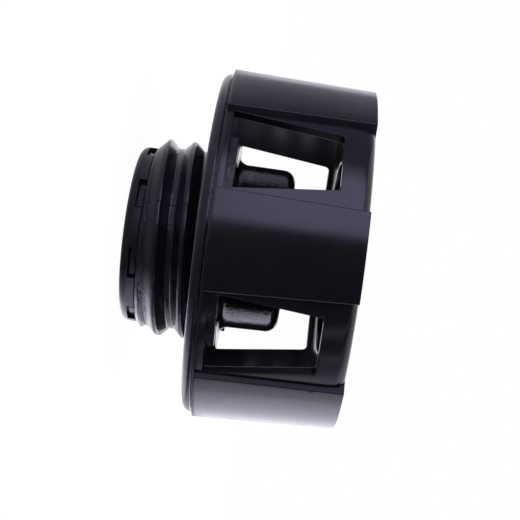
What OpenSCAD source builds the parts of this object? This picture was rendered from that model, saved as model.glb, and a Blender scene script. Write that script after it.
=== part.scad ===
// Filler cap for a hydraulic oil tank: a coarse threaded neck, a flange with a
// central valve housing, and a six-lobed open grip drum. The cap stands on the
// end of its neck, with +Z along its axis towards the top of the drum. One grip
// lug faces -Y.

/* [Grip drum] */
// Number of grip lugs, with one window in each gap between them
lug_count = 6; // [4:1:8]
// Radius over the grip lugs at the flange end
drum_r = 45; // [44:0.1:50]
// Radius lost between the flange end and the top, as draft
drum_draft = 1.3; // [0.5:0.1:2]
// Height of the drum
drum_h = 35.3; // [32:0.1:42]
// Wall thickness between the lugs
drum_wall = 2.6; // [2:0.1:3.5]
// How far a lug stands proud of the wall
lug_stand = 1.3; // [0.8:0.1:2.5]
// Width of a lug at the flange end
lug_w = 23.3; // [18:0.1:23.6]
// Width that a lug loses on its way up to the top
lug_taper = 2.5; // [0:0.1:6]
// Rounding of the wall's top shoulder between the lugs
shoulder_round = 2.6; // [1:0.1:3]
// Height of the closed band below the windows
window_sill = 2; // [1:0.1:4]
// Height of a window
window_h = 26; // [15:0.5:27]
// Strip of wall left between a window's lower edge and the lug beside it
window_strip = 0.33; // [0.2:0.01:2]
// Width that a window loses on its way up
window_taper = 6.3; // [2:0.1:9]
// Corner radius at a window's upper edge
window_corner = 1.5; // [0.5:0.1:3]

/* [Drum top] */
// Thickness of the stepped top plate
top_wall = 3; // [2:0.1:4]
// Depth of the ring-shaped dish in the top
dish_depth = 2.9; // [1:0.1:4]
// Width of the standing rim round the dish, at the top
dish_rim = 3.4; // [2.8:0.1:6]
// Radius of the recess under the raised centre
centre_recess_r = 24.6; // [18:0.1:28]
// Radial wall round that recess
centre_wall = 3; // [2:0.1:4]
// How far the raised centre lies below the rim
centre_drop = 0.4; // [0.2:0.1:1]
// Small edge chamfer of the top's steps
top_edge = 0.5; // [0.2:0.1:0.8]

/* [Flange] */
// How far the rim lies inside the outer face of the drum's wall
rim_inset = 0.2; // [0:0.05:1]
// Height of the rim
rim_h = 2.5; // [2:0.1:4]
// Radial width of the rim's lip
rim_lip_w = 2.5; // [2:0.1:4]
// Rounding of the rim's outer lower edge
rim_round = 2; // [1:0.1:2]
// Height of the fine groove between rim and drum
seam_h = 0.3; // [0.2:0.05:0.6]
// Radial depth of that groove
seam_depth = 1.1; // [0.5:0.1:1.3]
// Height of the flange's underside above the rim's lower edge
web_lift = 0.9; // [0.5:0.1:1.2]
// Height of the spigot that the drum is centred on
spigot_h = 1.3; // [0.8:0.1:1.8]
// Radial clearance between the drum and what it fits over
drum_fit = 0.12; // [0.08:0.01:0.3]
// Number of locating walls that stand on the flange inside the drum
tab_count = 2; // [2:1:3]
// Direction of the first locating wall
tab_turn = 90; // [30:60:150]
// Height of a locating wall
tab_h = 2.7; // [1:0.1:3.5]
// Width of a locating wall, along its chord
tab_w = 48; // [30:1:56]
// Thickness of a locating wall
tab_t = 2; // [1.2:0.1:3]
// Radial width of the raised pad round the housing
pad_w = 6.1; // [4:0.1:8]
// Height of the raised pad
pad_h = 2.2; // [0.8:0.1:3]

/* [Valve housing] */
// Height of the housing above the pad
boss_h = 14.9; // [14.5:0.1:20]
// Wall of the housing on the flange
boss_wall = 3.1; // [2:0.1:3.5]
// Radial width of the shoulder in the bore that the cage is pressed against
cage_shoulder = 1.6; // [1:0.1:2]
// Thickness of the housing's crown
crown_t = 3; // [2:0.1:4]
// Rounding of the housing's upper edge
boss_round = 3.2; // [1:0.1:4]
// Fillet at the foot of the housing
boss_fillet = 2.5; // [1:0.1:3.5]
// Number of vent holes in the crown
vent_count = 6; // [3:1:8]
// Radius of a vent hole
vent_r = 1.5; // [1:0.1:2]
// Radius of the circle that the vent holes lie on
vent_pitch_r = 6.4; // [5:0.1:8]

/* [Threaded neck] */
// Crest radius of the thread, which the radii of the neck's pieces follow
thread_r = 25.3; // [22.8:0.1:27.8]
// Radial depth of the thread
thread_depth = 2.1; // [1.5:0.1:2.4]
// Pitch of the single-start right-hand thread
thread_pitch = 6.6; // [5:0.1:8]
// Height of the crest above the stand surface on the -X side, first turn
thread_start_z = 6.6; // [6:0.1:8]
// Width of the flat on the crest
thread_crest_w = 1; // [0.4:0.1:1.6]
// Width of the flat at the root
thread_root_w = 1.2; // [0.4:0.1:2]
// Wall of the neck's plain end, which the end ring is snapped on
spigot_wall = 1.6; // [1.2:0.1:2]
// Height of the neck from the end ring to the rim's lower edge
neck_h = 14.6; // [13:0.1:20]

/* [End ring] */
// How far the end ring lies below the thread's root
ring_step = 0.7; // [0.4:0.1:1.2]
// Height of the end ring
ring_h = 4.1; // [3.8:0.1:6]
// Rounding of the end ring's lower edge
ring_round = 1.9; // [0.8:0.1:2]
// Thickness of the end ring's floor
ring_floor = 1.9; // [1.5:0.1:2.5]
// Radial width of the end ring's floor
ring_floor_w = 6.5; // [5:0.1:10]
// Thickness of the end ring's skirt
ring_skirt = 1.2; // [1:0.1:1.3]
// Number of snap notches in the skirt
notch_count = 8; // [4:1:10]
// Width of a snap notch
notch_w = 7.8; // [5:0.1:9]
// Height of a snap notch
notch_h = 2.05; // [1.6:0.05:2.1]
// Turn of the first notch from +X, in degrees
notch_turn = 19.85; // [0:0.05:45]
// Clearance round the snap tongues and under the skirt
snap_fit = 0.1; // [0.05:0.01:0.2]
// Width left on each side of a tongue in its notch
tongue_side = 1.1; // [0.5:0.1:1.5]
// How far a tongue stands out from the spigot
tongue_out = 0.55; // [0.3:0.05:0.8]

/* [Seals] */
// Radial gap between the thread's crest and the flange gasket
gasket_gap = 0.7; // [0.5:0.1:2]
// Radial width of the flange gasket
gasket_w = 8; // [6:0.1:10]
// Thickness of the flange gasket
gasket_t = 2; // [1.5:0.1:2.2]
// Depth of the gasket's groove in the flange
gasket_groove = 1.4; // [1:0.1:1.6]
// Radial clearance of the gasket in its groove
gasket_fit = 0.1; // [0.05:0.01:0.2]
// Section radius of the o-ring on the valve cage
oring_r = 0.7; // [0.5:0.05:0.8]
// Radial clearance of the o-ring in its groove and in the neck
oring_fit = 0.025; // [0.01:0.005:0.04]
// Height of the o-ring above the cage's lower end
oring_lift = 9; // [6:0.5:12]

/* [Valve cage and filter] */
// Radial clearance of the cage in the neck
cage_fit = 0.1; // [0.05:0.01:0.2]
// Wall of the cage
cage_wall = 2.2; // [1.8:0.1:2.6]
// Height of the cage
cage_h = 19.4; // [17:0.1:24]
// Thickness of the cage's floor, which is the valve seat
seat_t = 2; // [1.5:0.1:3]
// Depth of the seat's upper face below the cage's top
seat_depth = 3.3; // [2.5:0.1:4]
// Height of the sealing bead on the seat
bead_h = 0.6; // [0.4:0.1:1]
// Width of the sealing bead
bead_w = 1; // [0.6:0.1:1.4]
// Width of the seat's face between its hole and the bead
bead_edge = 0.2; // [0:0.1:0.6]
// Number of posts on the cage that guide the pressure plate
guide_count = 4; // [3:1:6]
// Width of a guide post
guide_w = 2.4; // [1.6:0.1:4]
// Height of a guide post above the seat
guide_h = 8.2; // [7.8:0.1:9]
// Thickness of the splash baffle
baffle_t = 1; // [0.8:0.1:1.5]
// Height of the baffle's pads, which carry the filter
baffle_pad_h = 1; // [0.6:0.1:1.5]
// Radius of a pad
baffle_pad_r = 1; // [0.6:0.1:1.2]
// How far the circle of the slots and pads lies inside the filter's edge
baffle_inset = 1.6; // [1.4:0.1:3]
// Number of slots and pads in the baffle
baffle_slots = 6; // [4:1:8]
// Width of an arc slot in the baffle
baffle_slot_w = 2; // [1:0.1:2.6]
// Angle from an arc slot's middle to the centre of its round end
baffle_slot_turn = 14; // [6:0.5:14]
// Thickness of the filter's end caps
element_cap_t = 1; // [0.8:0.1:1.4]
// Radial air gap between the filter's foam and the cage
element_gap = 2.3; // [1.8:0.1:4]
// Radial thickness of the foam
element_w = 4.8; // [3:0.1:6]
// How far the filter's upper cap reaches past the foam
element_lip = 1.1; // [0:0.1:1.4]
// Wall of the filter's core tube
core_wall = 1.2; // [0.8:0.1:1.5]
// Radius of a hole in the core tube
core_hole_r = 1.3; // [0.8:0.1:1.6]
// Rows of holes in the core tube
core_rows = 3; // [2:1:3]
// Holes in each row
core_row_holes = 6; // [4:1:8]

/* [Pressure valve] */
// Thickness of the rubber face seal
seal_t = 1.4; // [1:0.1:2]
// How far the face seal lies inside the plate's edge
seal_inset = 0.8; // [0.2:0.1:1.2]
// Radial gap between the pressure plate and the cage, which the posts stand in
plate_gap = 3.9; // [2:0.1:4.5]
// Thickness of the pressure plate
plate_t = 1.4; // [1:0.1:2]
// Height of the plate's raised edge, which centres the spring
plate_edge_h = 1.2; // [0.8:0.1:1.6]
// Radial width of that edge
plate_edge_w = 0.45; // [0.3:0.05:0.5]
// Radial clearance between the plate and its guide posts
plate_fit = 0.1; // [0.05:0.01:0.2]
// Number of air ports in the plate
port_count = 6; // [4:1:6]
// Diameter of an air port, as a share of the width of the seal that covers it
port_share = 0.48; // [0.3:0.01:0.6]
// Wire radius of the pressure spring
spring_wire_r = 0.6; // [0.4:0.05:0.7]
// Radial clearance between the pressure spring and the plate's raised edge
spring_fit = 0.15; // [0.05:0.01:0.3]
// Turns of the pressure spring
spring_turns = 5; // [3:0.5:6]
// Thickness of the washer over the spring
washer_t = 1; // [0.6:0.1:1.4]
// How far the washer reaches inside the spring
washer_lap = 0.15; // [0:0.01:1]
// Thickness of the dust screen under the crown
screen_t = 0.5; // [0.3:0.1:0.8]
// Radial clearance of washer and screen in the housing
washer_fit = 0.15; // [0.1:0.01:0.3]

/* [Vacuum valve] */
// Radius of the valve stem
stem_r = 1.9; // [1.6:0.05:1.95]
// Radial clearance of the stem in the plate
stem_fit = 0.08; // [0.05:0.01:0.1]
// Radial air gap between the vacuum disc and the hole in the seat
disc_gap = 2; // [1.4:0.1:2.4]
// Thickness of the vacuum disc
vacuum_t = 1.2; // [0.8:0.1:1.6]
// Thickness of its rubber seal
vacuum_seal_t = 1; // [0.8:0.1:1.2]
// Edge of the disc left free round its seal
vacuum_edge = 0.4; // [0.2:0.1:0.8]
// Radial air gap between the disc and the pressure valve's face seal
vacuum_gap = 1.4; // [1:0.1:1.6]
// Length of the vacuum spring
vacuum_spring_h = 5.2; // [4.8:0.1:7]
// Wire radius of the vacuum spring
vacuum_wire_r = 0.3; // [0.2:0.05:0.35]
// Mean radius of the vacuum spring
vacuum_spring_r = 2.6; // [2.5:0.05:2.8]
// Turns of the vacuum spring
vacuum_spring_turns = 5; // [3:0.5:6]
// Outer radius of the stem's clip
clip_r = 3.7; // [3.3:0.1:5]
// Thickness of the stem's clip
clip_t = 0.8; // [0.5:0.1:1]
// Depth of the clip's groove in the stem
clip_groove = 0.4; // [0.2:0.05:0.6]
// Length of the stem's head above the clip
stem_head = 1.2; // [0.8:0.1:2]

/* [Hidden] */
$fn = 96;

// Reach of a cut past the face that it leaves
cut = 1;
// Overlap of two bodies that are moulded as one
weld = 0.2;
// Turn of the first lug, so that one lug faces -Y
lug_turn = -90;
lug_step = 360 / lug_count;

// Heights above the stand surface
rim_z = ring_h + neck_h;
web_z = rim_z + web_lift;
drum_z = rim_z + rim_h + seam_h;
floor_z = drum_z + spigot_h;
pad_z = floor_z + pad_h;
boss_z = pad_z + boss_h;
crown_z = boss_z - crown_t;
top_z = drum_z + drum_h;
dish_z = top_z - dish_depth;
ceiling_z = dish_z - top_wall;
centre_z = top_z - centre_drop;
window_z = drum_z + window_sill;

// Radii of the drum and of the flange under it
wall_r = drum_r - lug_stand;
wall_top_r = wall_r - drum_draft;
inner_r = wall_r - drum_wall;
inner_top_r = wall_top_r - drum_wall;
spigot_r = inner_r - drum_fit;
rim_r = wall_r - rim_inset;
dish_r = wall_top_r - dish_rim;

// Widths round the drum: a window and its two strips fill the gap between lugs
lug_top_w = lug_w - lug_taper;
window_turn = lug_step / 2 - asin(lug_w / 2 / wall_r)
    - window_strip / wall_r * 180 / PI;
window_w = 2 * wall_r * sin(window_turn);
window_top_w = window_w - window_taper;

// Radii of the neck and the housing, from the thread inwards
neck_r = thread_r - thread_depth;
ring_r = neck_r - ring_step;
ring_bore_r = ring_r - ring_skirt;
ring_hole_r = ring_r - ring_floor_w;
snap_spigot_r = ring_bore_r - snap_fit;
snap_spigot_z = ring_floor + snap_fit;
neck_bore_r = snap_spigot_r - spigot_wall;
boss_bore_r = neck_bore_r - cage_shoulder;
boss_r = boss_bore_r + boss_wall;
pad_r = boss_r + pad_w;
gasket_in_r = thread_r + gasket_gap;
cage_r = neck_bore_r - cage_fit;
cage_bore_r = cage_r - cage_wall;
element_r = cage_bore_r - element_gap;
baffle_pitch_r = element_r - baffle_inset;
core_r = element_r - element_w;
seat_hole_r = core_r - core_wall;
baffle_z = ring_floor;
cage_z = baffle_z + baffle_t;
cage_top_z = cage_z + cage_h;
seat_z = cage_top_z - seat_depth;
seat_low_z = seat_z - seat_t;
element_z = cage_z + baffle_pad_h;
core_z = element_z + element_cap_t;
upper_cap_r = element_r + element_lip;
bead_r = seat_hole_r + bead_edge;
gasket_z = web_z + gasket_groove;

// Valve stack
seal_z = seat_z + bead_h;
plate_z = seal_z + seal_t;
plate_top_z = plate_z + plate_t;
washer_r = boss_bore_r - washer_fit;
washer_z = crown_z - screen_t - washer_t;
vacuum_z = plate_z - vacuum_seal_t - vacuum_t;
clip_z = plate_top_z + vacuum_spring_h;
plate_r = cage_bore_r - plate_gap;
seal_r = plate_r - seal_inset;
spring_r = plate_r - plate_edge_w - spring_fit - spring_wire_r;
washer_in_r = spring_r - spring_wire_r - washer_lap;
vacuum_r = seat_hole_r - disc_gap;
vacuum_seal_r = vacuum_r - vacuum_edge;
stem_bore_r = stem_r + stem_fit;
port_r = port_share * (vacuum_seal_r - stem_bore_r) / 2;
port_pitch_r = (vacuum_seal_r + stem_bore_r) / 2;

// Facets of the swept surfaces, of corner arcs and of small holes
thread_steps = 72;
thread_rows = 42;
wire_steps = 24;
wire_sides = 8;
corner_steps = 6;
small_fn = 32;

// Smooth step from 0 to 1
function ease(x) = let (c = min(max(x, 0), 1)) c * c * (3 - 2 * c);

// Radius of the neck's surface at angle a and height z: a rounded V ridge that
// climbs by one pitch a turn, cut back by a cone at the neck's free end
function crest_z(a) = thread_start_z + thread_pitch * (a - 180) / 360;
function crest_gap(a, z) =
    let (turns = (z - crest_z(a)) / thread_pitch)
    abs(turns - round(turns)) * thread_pitch;
function neck_surface_r(a, z) =
    let (flank = (thread_pitch - thread_crest_w - thread_root_w) / 2)
    let (down = ease((crest_gap(a, z) - thread_crest_w / 2) / flank))
    min(thread_r - (thread_r - neck_r) * down, ring_r + snap_fit + z - ring_h);

// Square with a quarter circle taken out: fills a corner, or rounds an edge
module corner_fill(r) {
    difference() {
        translate([-weld, -weld]) square(r + weld);
        translate([r, r]) circle(r);
    }
}

module ring(in_r, out_r, z, h) {
    translate([0, 0, z]) difference() {
        cylinder(r = out_r, h = h);
        translate([0, 0, -cut]) cylinder(r = in_r, h = h + 2 * cut);
    }
}

// Upright trapezium, given in width and height, pushed out along +X
module side_prism(w, top_w, z, h, corner = 0) {
    lean = atan((w - top_w) / 2 / h);
    // Centre of the corner arc, tangent to the top and to the leaning side
    cy = h - corner;
    cx = w / 2 - cy * tan(lean) - corner / cos(lean);
    arc = corner > 0
        ? [for (i = [0 : corner_steps]) let (a = lean + (90 - lean) * i / corner_steps)
            [cx + corner * cos(a), cy + corner * sin(a)]]
        : [[top_w / 2, h]];
    back = [for (i = [len(arc) - 1 : -1 : 0]) [-arc[i][0], arc[i][1]]];
    points = concat([[-w / 2, 0], [w / 2, 0]], arc, back);
    translate([0, 0, z]) rotate([90, 0, 90])
        linear_extrude(drum_r + 2 * cut) polygon(points);
}

module radial_copies(count, turn) {
    for (i = [0 : count - 1]) rotate([0, 0, turn + i * 360 / count]) children();
}

// Coil of round wire between two seats, with its ends touching them
module coil(mean_r, wire_r, z, h, turns) {
    steps = ceil(turns * wire_steps);
    rise = (h - 2 * wire_r) / steps;
    points = [for (i = [0 : steps]) for (k = [0 : wire_sides - 1])
        let (a = 360 * i / wire_steps, b = 360 * k / wire_sides)
        let (r = mean_r + wire_r * cos(b))
        [r * cos(a), r * sin(a), z + wire_r + rise * i + wire_r * sin(b)]];
    sides = [for (i = [0 : steps - 1]) for (k = [0 : wire_sides - 1])
        let (a = i * wire_sides + k, b = i * wire_sides + (k + 1) % wire_sides)
        [[a, b, b + wire_sides], [a, b + wire_sides, a + wire_sides]]];
    first = [for (k = [0 : wire_sides - 1]) wire_sides - 1 - k];
    last = [for (k = [0 : wire_sides - 1]) steps * wire_sides + k];
    polyhedron(points, concat([for (s = sides) for (t = s) t], [first, last]));
}

// Drum: drafted wall with windows, drafted lugs, stepped top
module drum_wall_profile() {
    difference() {
        polygon([[0, drum_z], [wall_r, drum_z], [wall_top_r, top_z], [0, top_z]]);
        translate([wall_top_r + draft_at_shoulder(), top_z]) rotate(180)
            corner_fill(shoulder_round);
    }
}

function draft_at_shoulder() = drum_draft * shoulder_round / drum_h / 2;

// The lug's root lies inside the wall, from its middle below to its shoulder above
module drum_lug() {
    intersection() {
        rotate_extrude() polygon([[(inner_r + wall_r) / 2, drum_z], [drum_r, drum_z],
            [drum_r - drum_draft, top_z], [wall_top_r - shoulder_round - weld, top_z]]);
        side_prism(lug_w, lug_top_w, drum_z - weld, drum_h + 2 * weld);
    }
}

module drum_cavity() {
    rotate_extrude() polygon([[0, drum_z - cut], [inner_r, drum_z - cut],
        [inner_r, floor_z + tab_h], [inner_top_r, ceiling_z],
        [centre_recess_r, ceiling_z], [centre_recess_r, centre_z - top_wall],
        [0, centre_z - top_wall]]);
}

module top_dish() {
    centre_r = centre_recess_r + centre_wall;
    rotate_extrude() polygon([[centre_r, dish_z], [dish_r - top_edge, dish_z],
        [dish_r, dish_z + top_edge], [dish_r, top_z - top_edge],
        [dish_r + top_edge + cut, top_z + cut], [0, top_z + cut], [0, centre_z],
        [centre_r - top_edge, centre_z], [centre_r, centre_z - top_edge]]);
}

module grip_drum() {
    color([0.13, 0.12, 0.16]) difference() {
        union() {
            rotate_extrude() drum_wall_profile();
            radial_copies(lug_count, lug_turn) drum_lug();
        }
        drum_cavity();
        top_dish();
        radial_copies(lug_count, lug_turn + lug_step / 2) intersection() {
            side_prism(window_w, window_top_w, window_z, window_h, window_corner);
            ring(pad_r, drum_r + cut, window_z - cut, window_h + 2 * cut);
        }
    }
}

// Flange, neck and valve housing, moulded as one piece
module flange_profile() {
    difference() {
        union() {
            translate([neck_bore_r, web_z])
                square([spigot_r - neck_bore_r, floor_z - web_z]);
            translate([neck_bore_r, web_z])
                square([rim_r - seam_depth - neck_bore_r, drum_z - web_z]);
            translate([rim_r - rim_lip_w, rim_z]) square([rim_lip_w, rim_h]);
        }
        translate([rim_r, rim_z]) rotate(90) corner_fill(rim_round);
    }
}

module boss_profile() {
    difference() {
        union() {
            translate([0, web_z]) square([boss_r, boss_z - web_z]);
            translate([0, floor_z - weld]) square([pad_r, pad_h + weld]);
            translate([boss_r, pad_z]) corner_fill(boss_fillet);
        }
        translate([boss_r, boss_z]) rotate(180) corner_fill(boss_round);
    }
}

// Threaded sleeve: an open grid of radii, closed at both ends and on its bore
module thread_sleeve() {
    in_r = (neck_bore_r + snap_spigot_r) / 2;
    z_end = web_z + weld;
    rows = [for (j = [0 : thread_rows]) ring_h + (z_end - ring_h) * j / thread_rows];
    angles = [for (i = [0 : thread_steps - 1]) 360 * i / thread_steps];
    outer = [for (z = rows) for (a = angles)
        let (r = neck_surface_r(a, z)) [r * cos(a), r * sin(a), z]];
    inner = [for (z = [ring_h, z_end]) for (a = angles)
        [in_r * cos(a), in_r * sin(a), z]];
    base = len(outer);
    top = thread_rows * thread_steps;
    skin = [for (j = [0 : thread_rows - 1]) for (i = [0 : thread_steps - 1])
        let (n = (i + 1) % thread_steps)
        let (a = j * thread_steps + i, b = j * thread_steps + n)
        [[a, b + thread_steps, b], [a, a + thread_steps, b + thread_steps]]];
    ends = [for (i = [0 : thread_steps - 1]) let (n = (i + 1) % thread_steps)
        [[i, n, base + n], [i, base + n, base + i],
         [top + i, base + thread_steps + i, base + thread_steps + n],
         [top + i, base + thread_steps + n, top + n],
         [base + i, base + n, base + thread_steps + n],
         [base + i, base + thread_steps + n, base + thread_steps + i]]];
    polyhedron(concat(outer, inner),
        concat([for (s = skin) for (t = s) t], [for (e = ends) for (t = e) t]));
}

module snap_tongue() {
    h = notch_h - 4 * snap_fit;
    translate([0, 0, ring_h - notch_h + 2 * snap_fit]) rotate([90, 0, 90])
        linear_extrude(snap_spigot_r + tongue_out)
            translate([-notch_w / 2 + tongue_side, 0])
                square([notch_w - 2 * tongue_side, h]);
}

module locating_wall() {
    side_prism(tab_w, tab_w, floor_z - weld, tab_h + weld);
}

module closure_body() {
    color([0.12, 0.12, 0.15]) difference() {
        union() {
            rotate_extrude() flange_profile();
            rotate_extrude() boss_profile();
            translate([0, 0, snap_spigot_z])
                cylinder(r = snap_spigot_r, h = web_z - snap_spigot_z + weld);
            thread_sleeve();
            intersection() {
                radial_copies(tab_count, tab_turn) locating_wall();
                ring(spigot_r - tab_t, spigot_r, floor_z - weld, tab_h + weld);
            }
            intersection() {
                radial_copies(notch_count, notch_turn) snap_tongue();
                cylinder(r = snap_spigot_r + tongue_out, h = ring_h);
            }
        }
        translate([0, 0, -cut]) cylinder(r = neck_bore_r, h = cage_top_z + cut);
        translate([0, 0, cage_top_z - cut])
            cylinder(r = boss_bore_r, h = crown_z - cage_top_z + cut);
        radial_copies(vent_count, 0) translate([vent_pitch_r, 0, crown_z - cut])
            cylinder(r = vent_r, h = crown_t + 2 * cut, $fn = small_fn);
        ring(gasket_in_r - gasket_fit, gasket_in_r + gasket_w + gasket_fit,
            web_z - cut, gasket_groove + cut);
    }
}

module flange_gasket() {
    color([0.07, 0.07, 0.07])
        ring(gasket_in_r, gasket_in_r + gasket_w, gasket_z - gasket_t, gasket_t);
}

// Snap-on ring at the end of the neck
module end_ring() {
    color([0.14, 0.13, 0.17]) difference() {
        rotate_extrude() difference() {
            union() {
                translate([ring_hole_r, 0]) square([ring_r - ring_hole_r, ring_floor]);
                translate([ring_bore_r, 0])
                    square([ring_skirt, ring_h - snap_fit]);
            }
            translate([ring_r, 0]) rotate(90) corner_fill(ring_round);
        }
        radial_copies(notch_count, notch_turn)
            translate([ring_bore_r - ring_skirt, -notch_w / 2, ring_h - notch_h])
                cube([3 * ring_skirt, notch_w, notch_h + cut]);
    }
}

// Plate that keeps oil off the filter, with arc slots under the filter's edge
module splash_baffle() {
    half_w = baffle_slot_w / 2;
    color([0.2, 0.2, 0.22]) {
        difference() {
            translate([0, 0, baffle_z]) cylinder(r = cage_r, h = baffle_t);
            radial_copies(baffle_slots, lug_turn) translate([0, 0, baffle_z - cut]) {
                rotate([0, 0, -baffle_slot_turn])
                    rotate_extrude(angle = 2 * baffle_slot_turn)
                        translate([baffle_pitch_r - half_w, 0])
                            square([baffle_slot_w, baffle_t + 2 * cut]);
                for (side = [-1, 1]) rotate([0, 0, side * baffle_slot_turn])
                    translate([baffle_pitch_r, 0, 0])
                        cylinder(r = half_w, h = baffle_t + 2 * cut, $fn = small_fn);
            }
        }
        radial_copies(baffle_slots, lug_turn + 180 / baffle_slots)
            translate([baffle_pitch_r, 0, baffle_z])
                cylinder(r = baffle_pad_r, h = baffle_t + baffle_pad_h, $fn = small_fn);
    }
}

// Cage with the valve seat as its floor, clamped between baffle and shoulder
module valve_cage() {
    guide_r = plate_r + plate_fit;
    groove_h = 2 * (oring_r + oring_fit);
    color([0.75, 0.74, 0.7]) {
        difference() {
            ring(cage_bore_r, cage_r, cage_z, cage_h);
            rotate_extrude() translate([neck_bore_r - groove_h,
                cage_z + oring_lift - groove_h / 2]) square([groove_h + cut, groove_h]);
        }
        ring(seat_hole_r, cage_bore_r + weld, seat_low_z, seat_t);
        ring(bead_r, bead_r + bead_w, seat_z - weld, bead_h + weld);
        intersection() {
            ring(guide_r, cage_bore_r + weld, seat_z - weld, guide_h + weld);
            radial_copies(guide_count, lug_turn / 2)
                side_prism(guide_w, guide_w, seat_z - weld, guide_h + weld);
        }
    }
}

module cage_o_ring() {
    color([0.07, 0.07, 0.07])
        translate([0, 0, cage_z + oring_lift]) rotate_extrude()
            translate([neck_bore_r - oring_r - oring_fit, 0])
                circle(oring_r, $fn = small_fn);
}

module breather_element() {
    color([0.35, 0.34, 0.3])
        ring(core_r, element_r, core_z, seat_low_z - element_cap_t - core_z);
}

module element_core() {
    rows_h = seat_low_z - core_z;
    color([0.8, 0.8, 0.78]) difference() {
        ring(seat_hole_r, core_r, core_z, rows_h);
        for (j = [1 : core_rows])
            translate([0, 0, core_z + rows_h * j / (core_rows + 1)])
                radial_copies(core_row_holes, 180 * j / core_row_holes)
                    rotate([0, 90, 0]) cylinder(r = core_hole_r, h = core_r + cut,
                        $fn = small_fn);
    }
}

module element_lower_cap() {
    color([0.8, 0.8, 0.78])
        translate([0, 0, element_z]) cylinder(r = element_r, h = element_cap_t);
}

module element_upper_cap() {
    color([0.8, 0.8, 0.78])
        ring(core_r, upper_cap_r, seat_low_z - element_cap_t, element_cap_t);
}

module pressure_plate() {
    color([0.7, 0.7, 0.72]) {
        difference() {
            translate([0, 0, plate_z]) cylinder(r = plate_r, h = plate_t);
            translate([0, 0, plate_z - cut]) {
                cylinder(r = stem_bore_r, h = plate_t + 2 * cut);
                radial_copies(port_count, 0) translate([port_pitch_r, 0, 0])
                    cylinder(r = port_r, h = plate_t + 2 * cut, $fn = small_fn);
            }
        }
        ring(plate_r - plate_edge_w, plate_r, plate_z, plate_t + plate_edge_h);
    }
}

module pressure_seal() {
    color([0.07, 0.07, 0.07]) ring(vacuum_r + vacuum_gap, seal_r, seal_z, seal_t);
}

module pressure_spring() {
    color([0.6, 0.6, 0.62])
        coil(spring_r, spring_wire_r, plate_top_z, washer_z - plate_top_z,
            spring_turns);
}

module spring_washer() {
    color([0.65, 0.65, 0.67]) ring(washer_in_r, washer_r, washer_z, washer_t);
}

module vent_screen() {
    color([0.5, 0.5, 0.48]) translate([0, 0, crown_z - screen_t])
        cylinder(r = washer_r, h = screen_t);
}

// Disc and stem of the vacuum valve, turned as one piece
module vacuum_disc() {
    color([0.72, 0.6, 0.3]) difference() {
        union() {
            translate([0, 0, vacuum_z]) cylinder(r = vacuum_r, h = vacuum_t);
            translate([0, 0, vacuum_z])
                cylinder(r = stem_r, h = clip_z + clip_t + stem_head - vacuum_z);
        }
        ring(stem_r - clip_groove, stem_r + cut, clip_z, clip_t);
    }
}

module vacuum_seal() {
    color([0.07, 0.07, 0.07])
        ring(stem_bore_r, vacuum_seal_r, plate_z - vacuum_seal_t, vacuum_seal_t);
}

module vacuum_spring() {
    color([0.6, 0.6, 0.62])
        coil(vacuum_spring_r, vacuum_wire_r, plate_top_z, vacuum_spring_h,
            vacuum_spring_turns);
}

module stem_clip() {
    color([0.6, 0.6, 0.62]) ring(stem_r - clip_groove, clip_r, clip_z, clip_t);
}

grip_drum();
closure_body();
flange_gasket();
end_ring();
splash_baffle();
valve_cage();
cage_o_ring();
breather_element();
element_core();
element_lower_cap();
element_upper_cap();
pressure_plate();
pressure_seal();
pressure_spring();
spring_washer();
vent_screen();
vacuum_disc();
vacuum_seal();
vacuum_spring();
stem_clip();
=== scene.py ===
from math import asin, atan2, cos, degrees, pi, radians, sin, tan

import bmesh
import bpy
from mathutils import Matrix, Vector


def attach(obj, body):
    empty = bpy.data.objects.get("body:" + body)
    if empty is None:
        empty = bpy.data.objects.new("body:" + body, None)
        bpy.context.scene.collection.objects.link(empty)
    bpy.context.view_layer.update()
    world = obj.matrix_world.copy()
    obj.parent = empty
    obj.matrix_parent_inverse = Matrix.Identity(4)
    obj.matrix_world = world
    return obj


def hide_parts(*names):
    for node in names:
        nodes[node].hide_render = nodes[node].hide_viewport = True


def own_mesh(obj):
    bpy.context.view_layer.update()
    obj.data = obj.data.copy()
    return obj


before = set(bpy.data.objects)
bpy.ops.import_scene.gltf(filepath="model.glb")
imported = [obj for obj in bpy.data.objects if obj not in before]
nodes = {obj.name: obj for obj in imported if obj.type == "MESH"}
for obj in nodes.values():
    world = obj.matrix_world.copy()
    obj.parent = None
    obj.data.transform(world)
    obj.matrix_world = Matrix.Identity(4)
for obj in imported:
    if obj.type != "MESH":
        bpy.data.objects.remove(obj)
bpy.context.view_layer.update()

# The cap stands on its end ring, with its axis on Z and the drum's top plate up. Lengths
# are in mm until MM turns them into Blender's metres, r is a distance from the axis, z a
# height, and angles are in degrees.

MM = 0.001
SCENE = bpy.context.scene

# Points that are closer than this, in metres, become one
MERGE = 2e-6
# Edges that turn by more than this stay sharp
SHARP = radians(38)
# The small round on an edge
EDGE = 0.2


# Meshes

def add_object(name, data):
    obj = bpy.data.objects.new(name, data)
    SCENE.collection.objects.link(obj)
    return obj


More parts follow.
